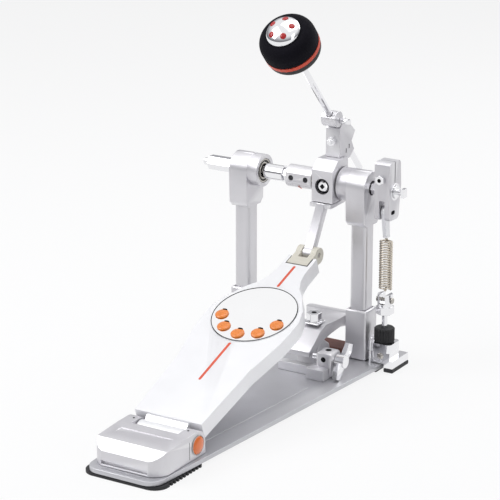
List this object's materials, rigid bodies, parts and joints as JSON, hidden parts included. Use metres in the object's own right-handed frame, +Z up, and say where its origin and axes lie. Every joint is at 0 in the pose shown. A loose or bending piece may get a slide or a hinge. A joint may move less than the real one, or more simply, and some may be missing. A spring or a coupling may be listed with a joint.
{
  "type": "bass drum pedal",
  "caption": "Foot pedal with a hinged footboard, direct-drive link, leaning felt beater, side return spring and hoop clamp on a flat base plate.",
  "frame": {"origin": "on the floor directly under the axle, in the footboard's centre plane", "axes": "+X to the player's right along the axle, +Y from the player towards the drum, +Z up"},
  "size_m": [0.2366, 0.4403, 0.3733],
  "materials": {
    "satin_casting": "satin cast aluminium, fine bead-blasted grain",
    "bright_board": "bright satin aluminium",
    "chrome": "polished chrome plate",
    "steel": "plain steel",
    "dark_steel": "blackened steel",
    "black_rubber": "matt black rubber",
    "brown_rubber": "dark red-brown rubber",
    "black_felt": "dense black felt",
    "orange": "glossy orange plastic",
    "red_ring": "orange-red elastomer",
    "cream_nylon": "cream nylon",
    "mirror": "mirror-polished steel"
  },
  "bodies": {
    "frame": {"base_plate": "satin_casting", "heel_mat": "black_rubber", "toe_mat": "black_rubber", "heel_block": "satin_casting", "hinge_rod": "steel", "hinge_cap": "orange", "post_socket_left": "satin_casting", "post_socket_right": "satin_casting", "post_left": "satin_casting", "post_right": "satin_casting", "housing_left": "satin_casting", "housing_right": "satin_casting", "bearing_left": "dark_steel", "bearing_right": "dark_steel", "hoop_pad": "brown_rubber", "clamp_pedestal": "satin_casting", "wing_bracket": "satin_casting", "spring_bracket": "chrome", "bracket_foot": "black_rubber", "tension_rod": "chrome", "clevis": "chrome"},
    "board": {"footboard": "bright_board", "traction_plate": "mirror", "traction_dot_1": "orange", "traction_dot_2": "orange", "traction_dot_3": "orange", "traction_dot_4": "orange", "traction_dot_5": "orange", "toe_insert": "cream_nylon", "link_pin": "steel"},
    "drive_link": {"link": "satin_casting"},
    "rocker": {"axle": "chrome", "axle_sleeve": "chrome", "collar": "satin_casting", "collar_screw_1": "dark_steel", "collar_screw_2": "dark_steel", "hub": "satin_casting", "hub_bolt": "chrome", "hub_pin": "steel", "beater_holder": "satin_casting", "holder_screw": "chrome", "clamp_cylinder": "satin_casting", "clamp_bolt": "chrome", "spring_cam": "satin_casting", "cam_bolt": "chrome", "cam_end_bolt": "chrome", "strap_pin": "steel"},
    "beater": {"beater_shaft": "chrome", "beater_base": "black_rubber", "beater_ring": "red_ring", "beater_felt": "black_felt", "beater_cap": "chrome"},
    "spring": {"return_spring": "steel"},
    "strap": {"spring_strap": "bright_board"},
    "knob": {"tension_knob": "black_rubber"},
    "wing": {"wing_screw": "chrome"},
    "jaw": {"clamp_jaw": "satin_casting", "jaw_bolt": "chrome"}
  },
  "joints": [
    {"name": "rocker_swing", "type": "hinge", "parent": "frame", "child": "rocker", "pos_m": [0, 0, 0.189], "axis": [1, 0, 0], "range_deg": [-40, 0], "stiffness_Nm_per_rad": 1.2, "springref_deg": 20.05},
    {"name": "board_hinge", "type": "hinge", "parent": "frame", "child": "board", "pos_m": [0, -0.311, 0.02], "axis": [1, 0, 0], "range_deg": [-7.5, 0]},
    {"name": "link_knuckle", "type": "hinge", "parent": "board", "child": "drive_link", "pos_m": [0, -0.04546, 0.12498], "axis": [1, 0, 0], "range_deg": [0, 20]},
    {"name": "beater_height", "type": "slide", "parent": "rocker", "child": "beater", "axis": [0, -0.6756, 0.7373], "range_m": [-0.015, 0.012]},
    {"name": "spring_sway", "type": "hinge", "parent": "frame", "child": "spring", "pos_m": [0.063, 0, 0.074], "axis": [1, 0, 0], "range_deg": [0, 7.5]},
    {"name": "strap_pull", "type": "slide", "parent": "spring", "child": "strap", "axis": [0, -0.0319, 0.9995], "range_m": [0, 0.0072], "deforming": ["return_spring"]},
    {"name": "knob_turn", "type": "hinge", "parent": "frame", "child": "knob", "pos_m": [0.063, 0, 0.037], "axis": [0, 0, 1], "continuous": true},
    {"name": "wing_turn", "type": "hinge", "parent": "frame", "child": "wing", "pos_m": [0.0485, -0.063, 0.0245], "axis": [1, 0, 0], "range_deg": [-90, 0]},
    {"name": "jaw_rock", "type": "hinge", "parent": "frame", "child": "jaw", "pos_m": [0, -0.036, 0.0334], "axis": [1, 0, 0], "range_deg": [-8.1, 0]}
  ],
  "couplings": [
    {"joint": "board_hinge", "follows": "rocker_swing", "ratio": 0.1854},
    {"joint": "link_knuckle", "follows": "rocker_swing", "ratio": -0.4955},
    {"joint": "spring_sway", "follows": "rocker_swing", "ratio": -0.1858},
    {"joint": "strap_pull", "follows": "rocker_swing", "m_per_rad": -0.010232},
    {"joint": "jaw_rock", "follows": "wing_turn", "ratio": 0.08889}
  ]
}
